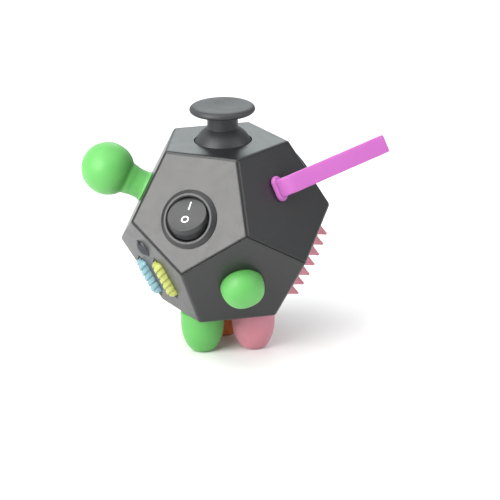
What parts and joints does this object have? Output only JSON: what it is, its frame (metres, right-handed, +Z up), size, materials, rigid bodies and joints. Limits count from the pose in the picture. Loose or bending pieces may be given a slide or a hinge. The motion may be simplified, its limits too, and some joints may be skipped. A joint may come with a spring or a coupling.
{
  "type": "twelve-sided fidget toy",
  "caption": "Hollow dodecahedron hand toy with a joystick, rocker switch, ridged rollers, rolling ball, dial, click buttons, spinner and soft squeeze, pinch and rub pieces.",
  "frame": {"origin": "centre of the whole toy's bounding box, on the surface that the toy stands on", "axes": "+Z up through the joystick; -Y is the side of the rocker switch; +X is the side of the tail"},
  "size_m": [0.0886, 0.0618, 0.0747],
  "materials": {
    "black_silicone": "soft matt silicone",
    "blue_plastic": "soft-touch moulded plastic",
    "button_blue": "moulded plastic",
    "button_green": "moulded plastic",
    "button_orange": "moulded plastic",
    "button_orchid": "moulded plastic",
    "button_yellow": "moulded plastic",
    "dark_steel": "polished dark steel",
    "green_silicone": "soft matt silicone",
    "inner_plastic": "natural grey acetal, moulded",
    "joystick_plastic": "fine matt black plastic",
    "orange_silicone": "soft matt silicone",
    "orchid_silicone": "soft matt silicone",
    "pink_silicone": "soft matt silicone",
    "shell_plastic": "satin black moulded plastic, slightly dusty, soft broad sheen",
    "steel": "bright drawn steel",
    "switch_plastic": "glossy black plastic",
    "white_print": "white pad print",
    "yellow_plastic": "soft-touch moulded plastic"
  },
  "bodies": {
    "body": {"bearing_balls": "steel", "bearing_inner_race": "steel", "brush_pad": "pink_silicone", "button_plate": "inner_plastic", "button_plate_screw": "steel", "button_springs": "steel", "centring_plate": "inner_plastic", "centring_spring": "steel", "dome_retainer": "inner_plastic", "lobe_plate": "shell_plastic", "lower_shell": "shell_plastic", "pinch_lobe_green": "green_silicone", "pinch_lobe_orange": "orange_silicone", "pinch_lobe_pink": "pink_silicone", "press_dome": "green_silicone", "rocker_pin": "dark_steel", "roller_axles": "steel", "roller_carrier": "switch_plastic", "shell_screws": "steel", "spinner_axle": "steel", "spinner_cap": "shell_plastic", "squeeze_ball": "green_silicone", "stick_housing": "inner_plastic", "strap": "orchid_silicone", "switch_bezel": "switch_plastic", "upper_shell": "shell_plastic", "worry_pad": "black_silicone"},
    "gimbal": {"gimbal_ring": "inner_plastic"},
    "joystick": {"stick": "joystick_plastic", "stick_cap": "joystick_plastic"},
    "rocker": {"rocker": "switch_plastic", "rocker_marks": "white_print", "rocker_plunger": "inner_plastic", "rocker_spring": "steel"},
    "yellow_roller": {"roller_yellow": "yellow_plastic"},
    "blue_roller": {"roller_blue": "blue_plastic"},
    "rolling_ball": {"rolling_ball": "dark_steel"},
    "dial": {"dial": "joystick_plastic", "dial_washer": "steel", "dial_screw": "steel"},
    "spinner": {"spinner_rotor": "blue_plastic", "bearing_outer_race": "steel"},
    "button_1": {"button_1": "button_green"},
    "button_2": {"button_2": "button_orchid"},
    "button_3": {"button_3": "button_yellow"},
    "button_4": {"button_4": "button_blue"},
    "button_5": {"button_5": "button_orange"}
  },
  "joints": [
    {"name": "joystick_tilt_x", "type": "hinge", "parent": "body", "child": "gimbal", "pos_m": [-0.00388, 0, 0.06005], "axis": [1, 0, 0], "range_deg": [-12, 12], "stiffness_Nm_per_rad": 0.02},
    {"name": "joystick_tilt_y", "type": "hinge", "parent": "gimbal", "child": "joystick", "pos_m": [-0.00388, 0, 0.06005], "axis": [0, 1, 0], "range_deg": [-12, 12], "stiffness_Nm_per_rad": 0.02},
    {"name": "rocker_tilt", "type": "hinge", "parent": "body", "child": "rocker", "pos_m": [-0.00428, -0.02388, 0.04731], "axis": [1, 0, 0], "range_deg": [0, 50]},
    {"name": "yellow_roller_spin", "type": "hinge", "parent": "body", "child": "yellow_roller", "pos_m": [-0.01395, -0.0193, 0.02667], "axis": [-0.2629, -0.3618, 0.8944], "continuous": true},
    {"name": "blue_roller_spin", "type": "hinge", "parent": "body", "child": "blue_roller", "pos_m": [-0.02347, -0.01012, 0.023], "axis": [-0.2629, -0.3618, 0.8944], "continuous": true},
    {"name": "rolling_ball_roll", "type": "hinge", "parent": "body", "child": "rolling_ball", "pos_m": [-0.02026, -0.01881, 0.03575], "axis": [0.809, -0.5878, 0], "continuous": true},
    {"name": "dial_turn", "type": "hinge", "parent": "body", "child": "dial", "pos_m": [0.01088, 0.02032, 0.05133], "axis": [0.5257, 0.7236, 0.4472], "continuous": true},
    {"name": "spinner_spin", "type": "hinge", "parent": "body", "child": "spinner", "pos_m": [-0.02844, 0.00798, 0.02586], "axis": [-0.8507, 0.2764, -0.4472], "continuous": true},
    {"name": "button_1_press", "type": "slide", "parent": "body", "child": "button_1", "axis": [0.5257, -0.7236, -0.4472], "range_m": [0, 0.0013], "stiffness_N_per_m": 150, "deforming": ["button_springs"]},
    {"name": "button_2_press", "type": "slide", "parent": "body", "child": "button_2", "axis": [0.5257, -0.7236, -0.4472], "range_m": [0, 0.0013], "stiffness_N_per_m": 150},
    {"name": "button_3_press", "type": "slide", "parent": "body", "child": "button_3", "axis": [0.5257, -0.7236, -0.4472], "range_m": [0, 0.0013], "stiffness_N_per_m": 150},
    {"name": "button_4_press", "type": "slide", "parent": "body", "child": "button_4", "axis": [0.5257, -0.7236, -0.4472], "range_m": [0, 0.0013], "stiffness_N_per_m": 150},
    {"name": "button_5_press", "type": "slide", "parent": "body", "child": "button_5", "axis": [0.5257, -0.7236, -0.4472], "range_m": [0, 0.0013], "stiffness_N_per_m": 150}
  ]
}
